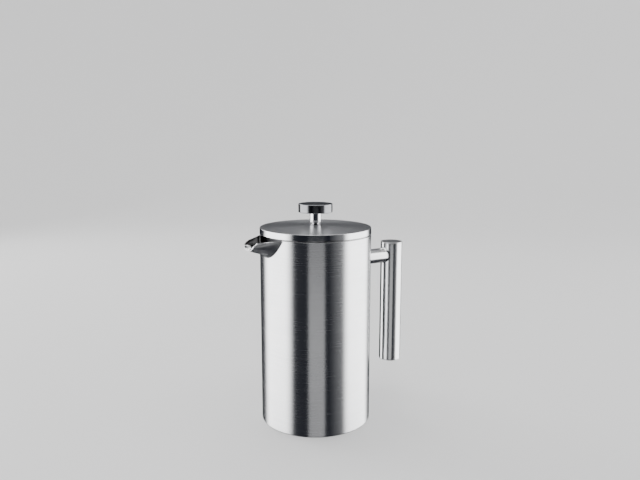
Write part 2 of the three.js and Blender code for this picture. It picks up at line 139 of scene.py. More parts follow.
class PressSizes(bpy.types.PropertyGroup):
    """Sheets, edges, clearances and the shapes of the spout, the lid, the handle and the filter."""

    sheet: length("Sheet", "Thickness of the pot's and the lid's sheet", 0.8 * MM)
    edge: length("Edge", "Rounding of a cut edge", 0.22 * MM)
    foot_edge: length("Foot edge", "Rounding of the shell's lower edge", 0.7 * MM)
    foot_turn: length("Foot turn", "How far the shell turns in below", 2 * MM)
    filter_clearance: length("Filter clearance", "Filter edge to the vessel wall", 0.5 * MM)
    plug_clearance: length("Plug clearance", "Lid plug to the vessel wall", 0.9 * MM)
    rod_clearance: length("Rod clearance", "Round the rod in its bush", 0.35 * MM)
    vessel_wall: length("Vessel wall", "Thickness of the brewing vessel's wall", 0.7 * MM)
    vessel_corner: length("Vessel corner", "Radius between the vessel's wall and floor", 6 * MM)
    spout_sheet: length("Spout sheet", "Thickness of the spout", 0.9 * MM)
    spout_root_depth: length("Spout depth", "Depth of the spout on the body", 17 * MM)
    spout_root_power: number("Spout fullness", "2 is a parabola on the body", 2.4, 1, 6)
    spout_drop: length("Spout drop", "Spout's top edges below the rim", 0.3 * MM)
    mouth_half_width: length("Mouth half width", "Half the width of the mouth", 10 * MM)
    mouth_depth: length("Mouth depth", "Depth of the mouth", 8 * MM)
    mouth_power: number("Mouth fullness", "1 is half an ellipse", 0.7, 0.2, 3)
    mouth_drop: length("Mouth drop", "Mouth's corners below the spout's root", 1.7 * MM)
    mouth_corner_reach: length("Corner reach", "Mouth's corners out from the body", 13 * MM)
    mouth_lean_power: number("Mouth lean", "How suddenly the lip turns back", 4.4, 1, 10)
    notch_margin: length("Notch margin", "Notch in the walls, inside the trough", 0.7 * MM)
    weld_waist: length("Weld waist", "How far the spout draws in beyond its weld", 1.4 * MM)
    lid_crown: length("Lid crown", "Rise of the lid's top to its centre", 2.2 * MM)
    lid_edge: length("Lid edge", "Rounding of the lid's upper edge", 0.5 * MM)
    lid_draft: length("Lid draft", "How far the lid's side leans in at the top", 0.2 * MM)
    knob_edge: length("Knob edge", "Rounding of the knob's edges", 0.45 * MM)
    pan_sheet: length("Pan sheet", "Thickness of the lid's pan", 0.7 * MM)
    flange: length("Flange", "Thickness of the vessel's flange", 0.6 * MM)
    handle_wall: length("Handle wall", "Wall of the handle's tube", 1.2 * MM)
    cap: length("Cap", "Thickness of the handle's end caps", 1 * MM)
    cap_spigot: length("Cap spigot", "How far a cap reaches into the tube", 3 * MM)
    arm_weld: length("Arm weld", "Smoothed welds at the arm's ends", 0.9 * MM)
    bead: length("Bead", "Height of the bead pressed in the bottom", 1.6 * MM)
    hub_tube: length("Hub tube", "Radius of the tube on the filter's hub", 5 * MM)
    plate: length("Plate", "Thickness of the pierced cross plate", 0.9 * MM)
    cloth: length("Cloth", "Thickness of the fine screen", 0.4 * MM)
    wire: length("Spring wire", "Thickness of the coil spring's wire", 0.8 * MM)


class PressFinish(bpy.types.PropertyGroup):
    """Colours of the steel, and the depth of its brushing."""

    body: colour("Body", "Brushed steel of the pot", (0.66, 0.665, 0.675))
    # Painted shade: the lid's top is set darker than its side, which takes the body colour, though
    # both are one steel.
    lid: colour("Lid", "Brushed steel of the lid", (0.53, 0.535, 0.55))
    knob: colour("Knob", "Satin steel of the knob's faces", (0.375, 0.38, 0.395))
    # Painted shade: the knob's side is the same satin steel as its faces, at half their colour.
    knob_side: colour("Knob side", "Satin steel round the knob", (0.19, 0.193, 0.202))
    spout_out: colour("Spout outside", "Satin steel below the spout", (0.72, 0.72, 0.725))
    spout_in: colour("Spout inside", "Polished steel in the trough", (0.78, 0.775, 0.77))
    handle: colour("Handle", "Bright steel of the handle", (0.68, 0.685, 0.69))
    polished: colour("Polished", "Polished steel of the neck and rod", (0.74, 0.74, 0.75))
    satin: colour("Satin", "Satin steel of small parts", (0.58, 0.585, 0.59))
    inside: colour("Inside", "Steel of the brewing vessel", (0.5, 0.5, 0.505))
    # Painted shade: this near-black colour stands for the shade in the narrow slot under the lid
    # and in the spout's throat.
    pan: colour("Pan", "Dark steel under the lid and in the throat", (0.07, 0.07, 0.072))
    screen: colour("Screen", "Woven steel wire", (0.5, 0.5, 0.51))
    grain: number("Grain", "Depth of the brushing", 0.5)


class PressStudio(bpy.types.PropertyGroup):
    """Camera and lights. Turns are measured about the pot's axis from the camera's side."""

    distance: length("Distance", "Camera to the pot's axis, level", 579.8 * MM)
    height: length("Height", "Camera above the table", 265.2 * MM)
    turn: angle("Turn", "Handle's turn away from square to the camera", 31.1)
    pitch: angle("Pitch", "Camera's tilt downwards", 9.43)
    yaw: angle("Yaw", "Camera's aim to the right of the axis", 0.41)
    lens: bpy.props.FloatProperty(
        name="Lens", description="Focal length", default=35.92, unit="CAMERA",
    )
    wall: colour("Wall", "Pale floor and backdrop", (0.8, 0.8, 0.8))
    soft_light: number("Soft light", "Brightness of the lights at the sides", 5.4, 0, 50)
    surround: colour("Surround", "Dark of the room in reflections", (0.018, 0.02, 0.028))


def sizes():
    return bpy.context.scene.press_sizes


def finish():
    return bpy.context.scene.press_finish


def studio():
    return bpy.context.scene.press_studio


# ---- Surfaces ---------------------------------------------------------------


def rounded(corners, steps=ARC_STEPS):
    """A closed outline with rounded corners, from rows of (r, z, radius).

    Each corner becomes the arc of that radius that touches both its sides, with one point more
    on each side just beyond the arc, so that the flat stretches stay flat when shaded.
    """
    corners = np.array(corners, float)
    place = corners[:, :2]
    before = np.roll(place, 1, 0) - place
    after = np.roll(place, -1, 0) - place
    out = []
    for p, a, b, radius in zip(place, before, after, corners[:, 2]):
        la, lb = np.linalg.norm(a), np.linalg.norm(b)
        a, b = a / la, b / lb
        half = math.acos(max(-1.0, min(1.0, float(a @ b)))) / 2
        if radius <= 0 or half > math.radians(89):
            out.append(p[None])
            continue
        reach = min(radius / math.tan(half), 0.45 * la, 0.45 * lb)
        radius = reach * math.tan(half)
        middle = a + b
        centre = p + middle / np.linalg.norm(middle) * radius / math.sin(half)
        start, end = p + a * reach - centre, p + b * reach - centre
        share = np.linspace(0, 1, steps + 1)[:, None]
        bend = math.pi - 2 * half
        way = (np.sin((1 - share) * bend) * start + np.sin(share * bend) * end) / math.sin(bend)
        extra = min(0.3 * radius + 0.1 * MM, 0.04 * min(la, lb))
        out.append((p + a * (reach + extra))[None])
        out.append(centre + way)
        out.append((p + b * (reach + extra))[None])
    return np.vstack(out)


def turned(outline, steps=ROUND):
    """The surface of revolution of an outline (r, z): r cos a, r sin a, z for a full turn of a."""
    a = np.linspace(0, 2 * math.pi, steps, endpoint=False)[:, None]
    r, z = outline[:, 0][None], outline[:, 1][None]
    return np.stack([r * np.cos(a), r * np.sin(a), z + 0 * a], -1)


def quads(points, wrap_rows=False, wrap_columns=False):
    """Vertices and faces of a grid of points: each face joins two neighbours on two rows."""
    rows, columns = points.shape[:2]
    index = np.arange(rows * columns).reshape(rows, columns)
    if wrap_rows:
        index = np.vstack([index, index[:1]])
    if wrap_columns:
        index = np.hstack([index, index[:, :1]])
    corners = [index[:-1, :-1], index[1:, :-1], index[1:, 1:], index[:-1, 1:]]
    return points.reshape(-1, 3), np.stack(corners, -1).reshape(-1, 4)


def sheet_between(outer, inner):
    """A closed sheet from its two faces, grids of points of one size, joined all round."""
    points, faces = quads(np.concatenate([outer, inner[:, ::-1]], 1), wrap_columns=True)
    rows, count = outer.shape[:2]
    a = np.arange(count - 1)
    first = np.stack([a, a + 1, 2 * count - 2 - a, 2 * count - 1 - a], -1)
    last = first + 2 * count * (rows - 1)
    return points, np.vstack([faces, first, last])


def turned_solid(outline, steps=ROUND):
    """A turned outline as vertices and faces. The outline closes on itself, or at the axis."""
    closed = outline[0, 0] > 1e-9
    return quads(turned(outline, steps), wrap_rows=True, wrap_columns=closed)


def moved(surface, x):
    """The surface moved along X."""
    points, faces = surface
    return points + np.array([x, 0, 0]), faces


def build(name, surfaces, body, nodes, materials, face_slots=None):
    """Makes the piece from surfaces of vertices and faces, joined where they meet.

    It rides on the body, stands for the nodes, and takes the finishes that it is given as its
    slots.
    """
    starts = np.cumsum([0] + [len(points) for points, _ in surfaces])
    points = np.vstack([points for points, _ in surfaces])
    faces = np.vstack([faces + start for (_, faces), start in zip(surfaces, starts)])
    mesh = bpy.data.meshes.new(name)
    mesh.from_pydata(points.tolist(), [], faces.tolist())
    work = bmesh.new()
    work.from_mesh(mesh)
    bmesh.ops.remove_doubles(work, verts=work.verts, dist=2e-6)
    bmesh.ops.dissolve_degenerate(work, edges=work.edges, dist=1e-7)
    bmesh.ops.recalc_face_normals(work, faces=work.faces)
    loose = [edge for edge in work.edges if not edge.is_manifold]
    if loose:
        raise RuntimeError(f"{name} has {len(loose)} open edges")
    work.to_mesh(mesh)
    work.free()
    mesh.shade_smooth()
    mesh.set_sharp_from_angle(angle=SHARP_ANGLE)
    piece = bpy.data.objects.new(name, mesh)
    bpy.context.scene.collection.objects.link(piece)
    for material in materials:
        mesh.materials.append(material)
    if face_slots is not None:
        centres = np.empty(len(mesh.polygons) * 3)
        normals = np.empty(len(mesh.polygons) * 3)
        mesh.polygons.foreach_get("center", centres)
        mesh.polygons.foreach_get("normal", normals)
        chosen = face_slots(centres.reshape(-1, 3), normals.reshape(-1, 3))
        mesh.polygons.foreach_set("material_index", chosen.astype(np.int32))
    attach(piece, body)
    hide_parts(*nodes)
    return piece


def top_or_side(centres, normals):
    """0 for a disc's level faces and 1 for its upright side."""
    return (np.abs(normals[:, 2]) < 0.5).astype(int)


# ---- Shader maths -----------------------------------------------------------


class Value:
    """A shader socket that takes part in Python expressions: each operation adds a Math node."""

    def __init__(self, shader, socket):
        self.shader = shader
        self.socket = socket

    def maths(self, operation, *others):
        inputs = dict(enumerate([self, *others]))
        return self.shader.node("ShaderNodeMath", {"operation": operation}, inputs)

    def __add__(self, other):
        return self.maths("ADD", other)

    __radd__ = __add__

    def __sub__(self, other):
        return self.maths("SUBTRACT", other)

    def __rsub__(self, other):
        return (self * -1) + other

    def __mul__(self, other):
        return self.maths("MULTIPLY", other)

    __rmul__ = __mul__

    def __truediv__(self, other):
        return self.maths("DIVIDE", other)

    def __rtruediv__(self, other):
        return self.maths("POWER", -1) * other

    def __pow__(self, other):
        return self.maths("POWER", other)

    def smooth(self, low, high):
        """0 below low and 1 above high, with a smooth step between."""
        return self.shader.node(
            "ShaderNodeMapRange",
            {"interpolation_type": "SMOOTHSTEP", "clamp": True},
            {"Value": self, "From Min": low, "From Max": high, "To Min": 0.0, "To Max": 1.0},
        )


class Shader:
    """A new material, and the one method that adds any node to it."""

    def __init__(self, name):
        self.material = bpy.data.materials.new(name)
        self.material.use_nodes = True
        self.tree = self.material.node_tree
        self.tree.nodes.clear()

    def node(self, kind, settings=None, inputs=None, output=0):
        """Adds a node, gives it its settings and then its inputs, and returns one output."""
        made = self.tree.nodes.new(kind)
        for key, value in (settings or {}).items():
            setattr(made, key, value)
        for key, value in (inputs or {}).items():
            if isinstance(value, Value):
                self.tree.links.new(value.socket, made.inputs[key])
            else:
                made.inputs[key].default_value = value
        return Value(self, made.outputs[output]) if made.outputs else None

    def place(self):
        return self.node("ShaderNodeTexCoord", output="Object")

    def noise(self, vector, scale, detail=2.0, roughness=0.5):
        inputs = {"Vector": vector, "Scale": scale, "Detail": detail, "Roughness": roughness}
        return self.node("ShaderNodeTexNoise", {"noise_dimensions": "3D"}, inputs)

    def mix(self, factor, a, b):
        """A colour between a and b."""
        return self.node("ShaderNodeMix", {"data_type": "RGBA"}, {0: factor, 6: a, 7: b}, 2)

    def parts(self, vector):
        """The three numbers of a vector."""
        x = self.node("ShaderNodeSeparateXYZ", inputs={0: vector})
        outputs = x.socket.node.outputs
        return x, Value(self, outputs[1]), Value(self, outputs[2])

    def bump(self, height, distance, strength):
        inputs = {"Height": height, "Distance": distance, "Strength": strength}
        return self.node("ShaderNodeBump", inputs=inputs, output="Normal")

    def finish(self, inputs):
        surface = self.node("ShaderNodeBsdfPrincipled", inputs=inputs)
        self.node("ShaderNodeOutputMaterial", inputs={"Surface": surface})
        return self.material


def rgba(c, k=1.0):
    return (c[0] * k, c[1] * k, c[2] * k, 1.0)


def turned_grain(shader, stretch=5.0, fine_scale=8000.0):
    """Brushing in circles about a vertical axis: noise that is long round the axis and fine
    across it, read at the unit direction times a small scale, and radius plus height times a
    large one."""
    x, y, z = shader.parts(shader.place())
    r = (x * x + y * y + 1e-10) ** 0.5
    return shader.node(
        "ShaderNodeCombineXYZ",
        inputs={"X": x / r * stretch, "Y": y / r * stretch, "Z": (r + z) * fine_scale},
    )


def steel(name, tint, roughness, grain_vector, spread, depth, streak):
    """Steel with a directed grain: streaks in colour, roughness and relief, faint hand marks and
    small scratches. spread is how much wider highlights are across the grain, depth that of the
    relief, and streak the strength of the streaks."""
    shader = Shader(name)
    vector = grain_vector(shader)
    fine_lines = shader.noise(vector, 1.0, 3.0, 0.65)
    broad_lines = shader.noise(vector, 0.14, 3.0, 0.6)
    cloud = shader.noise(shader.place(), 38.0, 2.0, 0.55).smooth(0.35, 0.72)
    marks = shader.noise(shader.place(), 160.0, 3.0, 0.6).smooth(0.6, 0.78)
    lines = fine_lines * 0.45 + broad_lines * 0.55
    tone = 0.5 + (lines - 0.5) * (7 * streak) - cloud * 0.08
    colour_now = shader.mix(tone, rgba(tint, 0.78), rgba(tint, 1.22))
    rough_now = roughness + (lines - 0.5) * (0.5 * streak) + (cloud + marks) * 0.008
    return shader.finish({
        "Base Color": colour_now, "Metallic": 1.0, "Roughness": rough_now,
        "Anisotropic": spread, "Anisotropic Rotation": ACROSS_GRAIN,
        "Normal": shader.bump(lines * depth, BRUSHING, 1.0),
    })


def knob_grain(shader):
    """Brushing in circles, a little coarser, whose marks go further round."""
    return turned_grain(shader, 3.0, 7000.0)


def cross_grain(shader):
    """Fine all-over satin grain, a little longer along Y."""
    return shader.node(
        "ShaderNodeMapping", inputs={"Vector": shader.place(), "Scale": (5200, 900, 5200)},
    )


def upright_grain(shader):
    """Grain along a vertical tube."""
    return shader.node(
        "ShaderNodeMapping", inputs={"Vector": shader.place(), "Scale": (5200, 5200, 130)},
    )


def level_grain(shader):
    """Grain along X, for the level arm and the spout."""
    return shader.node(
        "ShaderNodeMapping", inputs={"Vector": shader.place(), "Scale": (190, 4200, 4200)},
    )


def woven(name, tint, pitch):
    """Plain-woven wire cloth: two sets of wires as the sines of X and Y, each over and under the
    other in turn, with dark gaps between them."""
    shader = Shader(name)
    x, y, _ = shader.parts(shader.place())
    x, y = x * (math.pi / pitch), y * (math.pi / pitch)
    sx, sy = x.maths("SINE"), y.maths("SINE")
    cx, cy = x.maths("COSINE"), y.maths("COSINE")
    over = (cx * cy).maths("ABSOLUTE")
    warp = sx * sx
    weft = sy * sy
    height = warp.maths("MAXIMUM", weft) + over * 0.25
    gap = height.smooth(0.35, 0.75)
    blot = shader.noise(shader.place(), 60.0, 2.0, 0.5)
    colour_now = shader.mix(gap, rgba(tint, 0.12), rgba(tint, 1.1))
    return shader.finish({
        "Base Color": colour_now, "Metallic": 0.95, "Roughness": 0.42 + (blot - 0.5) * 0.15,
        "Normal": shader.bump(height, 1.2e-4, 0.9),
    })


def steels():
    """Every finish by name, made once."""
    if "press brushed body" in bpy.data.materials:
        return {m.name[6:]: m for m in bpy.data.materials if m.name.startswith("press ")}
    f = finish()
    grain = f.grain
    # name, colour, roughness, grain, spread across the grain, depth of relief, streaks
    steel("press brushed body", f.body, 0.26, turned_grain, 0.8, grain, 0.18)
    # Painted shade: the lid top's colour is darker than its side's; its higher roughness and spread
    # are its brushing.
    steel("press lid", f.lid, 0.31, turned_grain, 0.55, grain, 0.2)
    steel("press lid side", f.body, 0.15, turned_grain, 0.4, grain, 0.1)
    steel("press knob", f.knob, 0.17, knob_grain, 0.4, grain, 0.12)
    # Painted shade: the knob's side at half the colour of its faces.
    steel("press knob side", f.knob_side, 0.17, knob_grain, 0.4, grain, 0.12)
    steel("press spout outside", f.spout_out, 0.44, level_grain, 0.0, grain, 0.16)
    steel("press spout inside", f.spout_in, 0.14, cross_grain, 0.0, 0.1, 0.05)
    steel("press handle", f.handle, 0.2, upright_grain, 0.0, 0.25, 0.08)
    steel("press arm", f.handle, 0.24, level_grain, 0.0, 0.25, 0.08)
    steel("press polished", f.polished, 0.07, upright_grain, 0.0, 0.06, 0.03)
    steel("press satin", f.satin, 0.3, turned_grain, 0.3, grain, 0.16)
    # Painted shade: the near-black finish under the lid and in the throat.
    steel("press pan", f.pan, 0.42, turned_grain, 0.3, grain, 0.16)
    steel("press cap", f.satin, 0.28, cross_grain, 0.0, 0.3, 0.12)
    steel("press inside", f.inside, 0.32, turned_grain, 0.5, grain, 0.16)
    woven("press fine screen", f.screen, 0.45 * MM)
    woven("press coarse screen", f.screen, 1.1 * MM)
    return steels()


# ---- Pot --------------------------------------------------------------------


def root_curve(half_width, depth, t):
    """The spout's curve on the body: y is t times the half width, and z is below the top edges
    by the depth times 1 less the fullness power of t."""
    return half_width * t, -depth * (1 - np.abs(t) ** sizes().spout_root_power)


def spout_top():
    return shell.z1 - sizes().spout_drop


def notch_size():
    """Half width and depth of the pouring notch in both walls."""
    s = sizes()
    inset = s.spout_sheet + s.notch_margin
    return spout.r - inset, s.spout_root_depth - inset


def notched(outline, follow, rim):
    """A turned wall whose rim dips along the pouring notch at -X.

    follow is 0 for the points that stay and 1 for those at the rim: a point drops by its follow
    times the depth of the notch at its own y.
    """
    points = turned(outline, NOTCHED_ROUND)
    half_width, depth = notch_size()
    t = points[..., 1] / half_width
    dip = root_curve(half_width, depth, np.clip(t, -1, 1))[1] + spout_top() - rim
    inside = (np.abs(t) < 1) & (points[..., 0] < 0)
    points[..., 2] += np.where(inside, dip, 0.0) * follow[None]
    return points


class PRESS_OT_shell(bpy.types.Operator):
    """Outer shell: a straight brushed cylinder, turned in below, with the pouring notch"""

    bl_idname = "press.shell"
    bl_label = "Outer shell"

    def execute(self, context):
        s = sizes()
        inner = shell.r - s.sheet
        turn = shell.r - s.foot_turn
        bend = shell.z1 - 2 * s.spout_root_depth
        outline = rounded([
            (turn, 0, 0), (shell.r, 0, s.foot_edge), (shell.r, bend, 0),
            (shell.r, shell.z1, s.edge), (inner, shell.z1, s.edge), (inner, bend, 0),
            (inner, s.sheet, s.foot_edge), (turn, s.sheet, 0),
        ])
        follow = np.clip((outline[:, 1] - bend) / (shell.z1 - bend), 0, 1)
        surface = quads(notched(outline, follow, shell.z1), wrap_rows=True, wrap_columns=True)
        build("outer_shell_brushed", [surface], "pot", ["outer_shell"],
              [steels()["brushed body"]])
        return {"FINISHED"}


class PRESS_OT_vessel(bpy.types.Operator):
    """Inner vessel: the brewing chamber and the flange that lies on the shell's rim"""

    bl_idname = "press.vessel"
    bl_label = "Inner vessel"

    def execute(self, context):
        s = sizes()
        inner = fine.r + s.filter_clearance
        outer = inner + s.vessel_wall
        floor = vessel.z0 + s.vessel_wall
        flange = vessel.z1 - s.flange
        bend = vessel.z1 - 2 * s.spout_root_depth
        outline = rounded([
            (0, floor, 0), (0, vessel.z0, 0), (outer, vessel.z0, s.vessel_corner + s.vessel_wall),
            (outer, bend, 0), (outer, flange, 0), (vessel.r, flange, s.edge),
            (vessel.r, vessel.z1, s.edge), (inner, vessel.z1, 0.8 * MM), (inner, bend, 0),
            (inner, floor, s.vessel_corner),
        ], 8)
        outline = np.vstack([outline[1:], outline[:1]])
        follow = np.clip((outline[:, 1] - bend) / (vessel.z1 - bend), 0, 1)
        surface = quads(notched(outline, follow, vessel.z1), wrap_rows=True)
        build("inner_vessel_wall", [surface], "pot", ["inner_vessel"],
              [steels()["inside"]])
        return {"FINISHED"}


class PRESS_OT_base(bpy.types.Operator):
    """Bottom cover: a flat disc with a bead pressed into it"""

    bl_idname = "press.base"
    bl_label = "Bottom cover"

    def execute(self, context):
        s = sizes()
        edge = cover.r + 0.25 * MM
        bead_outer = cover.r - 3.7 * MM
        bead_inner = bead_outer - 12 * MM
        slope = s.bead
        soft = 1.2 * MM
        lower = [
            (bead_inner, 0, soft), (bead_inner + slope, s.bead, soft),
            (bead_outer - slope, s.bead, soft), (bead_outer, 0, soft),
        ]
        upper = [(r, z + s.sheet, radius) for r, z, radius in reversed(lower)]
        outline = rounded([
            (0, s.sheet, 0), (0, 0, 0), *lower, (edge, 0, s.edge), (edge, s.sheet, s.edge),
            *upper,
        ])
        outline = np.vstack([outline[1:], outline[:1]])
        build("bottom_cover_disc", [turned_solid(outline)], "pot", ["bottom_cover"],
              [steels()["satin"]])
        return {"FINISHED"}


def trough(s, t, inset):
    """A point of the spout: s runs from the body to the mouth, t across it from edge to edge.

    On the body it is the root curve laid on the cylinder; at the mouth it is half an ellipse
    made fuller by a power, whose lip leans out by 1 less a power of its height; between the two
    it follows straight lines. inset is the distance inwards from the outer face.
    """
    size = sizes()
    root_y, root_z = root_curve(spout.r - inset, size.spout_root_depth - inset, t)
    root_x = np.sqrt((shell.r - LAP / 2) ** 2 - root_y ** 2)
    turn = math.pi / 2 * t
    level = np.clip(np.cos(turn), 0, 1)
    lean = 1 - (1 - level) ** size.mouth_lean_power
    tip_reach = -spout.x0 - shell.r
    reach = size.mouth_corner_reach + (tip_reach - size.mouth_corner_reach) * lean
    mouth_x = shell.r + reach
    mouth_y = (size.mouth_half_width - inset) * np.sin(turn)
    mouth_z = -size.mouth_drop - (size.mouth_depth - inset) * level ** size.mouth_power
    return np.stack([
        -(root_x + (mouth_x - root_x) * s),
        root_y + (mouth_y - root_y) * s,
        spout_top() + root_z + (mouth_z - root_z) * s,
    ], -1)


class PRESS_OT_spout(bpy.types.Operator):
    """Spout: a pressed trough with a cut lip, welded to the body with a smoothed seam"""

    bl_idname = "press.spout"
    bl_label = "Spout"

    def execute(self, context):
        """Both faces draw in beyond the weld by the waist, times 1 less the square of the
        nearness to the body, times a power of the way left to the mouth. The lip's two edges
        are quarter circles."""
        size = sizes()
        along, across, lip = 44, 120, 4
        edge = 0.2 * MM
        s = np.linspace(0, 1, along + 1) ** 1.4
        waist = size.weld_waist * (1 - np.clip(1 - s / 0.25, 0, 1) ** 2) * (1 - s) ** 0.6
        swing = np.linspace(0, math.pi / 2, lip + 1)[1:]
        s = np.concatenate([s, 1 + edge * np.sin(swing) / (-spout.x0 - shell.r)])
        waist = np.concatenate([waist, 0 * swing])
        worn = np.concatenate([np.zeros(along + 1), edge * (1 - np.cos(swing))])
        outer_inset = (waist + worn)[:, None]
        inner_inset = (waist + size.spout_sheet - worn)[:, None]
        t = np.sin(np.linspace(-1, 1, across + 1) * math.pi / 2)[None]
        rows = s[:, None]
        surface = sheet_between(trough(rows, t, outer_inset), trough(rows, t, inner_inset))

        def sides(centres, normals):
            """Inner faces look up or towards the spout's middle plane."""
            inward = -np.sign(centres[:, 1]) * normals[:, 1] * 0.8 + normals[:, 2]
            return (inward > 0.02).astype(int)

        build("spout_trough", [surface], "pot", ["spout"],
              [steels()["spout outside"], steels()["spout inside"]], sides)
        return {"FINISHED"}


class PRESS_OT_throat(bpy.types.Operator):
    """Spout throat: a strip of the notch's curve that joins the two walls"""

    bl_idname = "press.throat"
    bl_label = "Spout throat"

    def execute(self, context):
        s = sizes()
        half_width, depth = notch_size()
        outer = self.face(half_width + LAP, depth + LAP)
        inner = self.face(half_width + LAP - s.spout_sheet, depth + LAP - s.spout_sheet)
        # The throat strip takes the near-black finish, painted shade for the narrow slot.
        build("spout_throat_strip", [sheet_between(outer, inner)], "pot", ["spout_throat"],
              [steels()["pan"]])
        return {"FINISHED"}

    def face(self, half_width, depth):
        """The root curve carried outwards: at each radius it lies on that radius's cylinder."""
        steps, across = 6, 120
        r = np.linspace(fine.r + sizes().filter_clearance, shell.r - LAP, steps + 1)[:, None]
        y, z = root_curve(half_width, depth, np.linspace(-1, 1, across + 1)[None])
        return np.stack([-np.sqrt(r ** 2 - y ** 2), y + 0 * r, spout_top() + z + 0 * r], -1)


# ---- Handle -----------------------------------------------------------------


class PRESS_OT_handle(bpy.types.Operator):
    """Handle: the upright tube, its two end caps and the level arm with smoothed welds"""

    bl_idname = "press.handle"
    bl_label = "Handle"

    def execute(self, context):
        s = sizes()
        bore = grip.r - s.handle_wall
        low = bottom_cap.z0 + s.cap + SEAM
        high = top_cap.z1 - s.cap - SEAM
        tube = rounded([
            (bore, low, 0), (grip.r, low, 0.12 * MM), (grip.r, high, 0.12 * MM), (bore, high, 0),
        ])
        build("handle_grip_tube", [moved(turned_solid(tube, SMALL_ROUND), grip.x)], "pot",
              ["handle_grip"], [steels()["handle"]])
        for name, node, end, way in (
            ("handle_top_disc", "handle_top_cap", top_cap.z1, -1),
            ("handle_bottom_disc", "handle_bottom_cap", bottom_cap.z0, 1),
        ):
            face = end + way * s.cap
            inner_end = face + way * s.cap_spigot
            plug = bore - 0.3 * MM
            disc = rounded([
                (0, end, 0), (grip.r, end, 0.35 * MM), (grip.r, face, 0.12 * MM),
                (plug, face, 0), (plug, inner_end, 0.3 * MM), (0, inner_end, 0),
            ])
            build(name, [moved(turned_solid(disc, SMALL_ROUND), grip.x)], "pot", [node],
                  [steels()["cap"]])
        self.make_arm(s)
        return {"FINISHED"}

    def make_arm(self, s):
        """The arm: a round bar along X from the body to the grip. Near each end its radius grows
        by the weld times the square of the nearness, and the end follows the other surface and
        closes in a cone out of sight inside it."""
        turns = SMALL_ROUND
        steps = 36
        zone = 1.6 * MM
        cone = 1.5 * MM
        z_axis = (arm.z0 + arm.z1) / 2
        a = np.linspace(0, 2 * math.pi, turns, endpoint=False)[None]
        span = (1 - np.cos(np.linspace(0, math.pi, steps + 1)))[:, None] / 2
        length_now = grip.x - grip.r - shell.r
        near = np.minimum(span, 1 - span) * length_now
        r = arm.r + s.arm_weld * np.clip(1 - near / zone, 0, 1) ** 2
        y, z = r * np.cos(a), r * np.sin(a)
        start = np.sqrt((shell.r - LAP) ** 2 - y ** 2)
        end = grip.x - np.sqrt(np.clip((grip.r - LAP) ** 2 - y ** 2, 0, None))
        x = start + (end - start) * span
        points = np.stack([x, y, z_axis + z], -1)
        first = np.broadcast_to([shell.r - cone, 0, z_axis], (1, turns, 3))
        last = np.broadcast_to([grip.x - grip.r + cone, 0, z_axis], (1, turns, 3))
        points = np.concatenate([first, points, last])
        build("handle_arm_bar", [quads(points, wrap_columns=True)], "pot", ["handle_arm"],
              [steels()["arm"]])


# ---- Lid --------------------------------------------------------------------


def crown_height(r):
    """Height of the lid's top at a radius: its middle, less the crown times the square of the
    radius over the edge's."""
    s = sizes()
    return lid_cap.z1 - s.lid_crown * (r / (lid_cap.r - s.lid_edge)) ** 2


class PRESS_OT_lid(bpy.types.Operator):
    """Lid: the crowned cap with its side, and the pan below it that plugs the vessel"""

    bl_idname = "press.lid"
    bl_label = "Lid"

    def execute(self, context):
        s = sizes()
        hole = bush.r - 0.6 * MM
        side_top = lid_cap.z1 - s.lid_crown
        inner = lid_cap.r - s.sheet
        shoulder = lid_cap.r - s.lid_draft - 2 * s.lid_edge
        r = np.linspace(shoulder, hole, 40)
        over = np.stack([r, crown_height(r)], -1)
        under = np.stack([r[::-1], crown_height(r[::-1]) - s.sheet], -1)
        side = rounded([
            (inner - s.lid_edge, side_top - s.sheet, 0), (inner, side_top - s.sheet, 0.2 * MM),
            (inner, lid_cap.z0, 0.1 * MM), (lid_cap.r, lid_cap.z0, s.edge),
            (lid_cap.r - s.lid_draft, side_top + 0.04 * MM, s.lid_edge),
            (shoulder, crown_height(shoulder), 0),
        ])
        outline = np.vstack([side[:-1], over, under])
        # The top faces take the darker lid colour, painted shade; the side takes the body colour.
        build("lid_cap_disc", [turned_solid(outline)], "lid", ["lid_cap"],
              [steels()["lid"], steels()["lid side"]], top_or_side)
        self.make_pan(s, hole)
        return {"FINISHED"}

    def make_pan(self, s, hole):
        plug = fine.r + s.filter_clearance - s.plug_clearance
        sheet = s.pan_sheet
        flange = lid_cap.r - s.sheet - 0.1 * MM
        top = lid_pan.z1
        under = lid_cap.z0
        outline = rounded([
            (hole, lid_pan.z0, 0), (plug, lid_pan.z0, 1.5 * MM), (plug, under, 0.3 * MM),
            (flange, under, 0.15 * MM), (flange, top, 0), (plug - sheet, top, 0.3 * MM),
            (plug - sheet, lid_pan.z0 + sheet, 0.8 * MM), (hole, lid_pan.z0 + sheet, 0),
        ])
        # The plug takes the near-black finish, painted shade under the lid.
        build("lid_pan_plug", [turned_solid(outline)], "lid", ["lid_pan"],
              [steels()["pan"]])


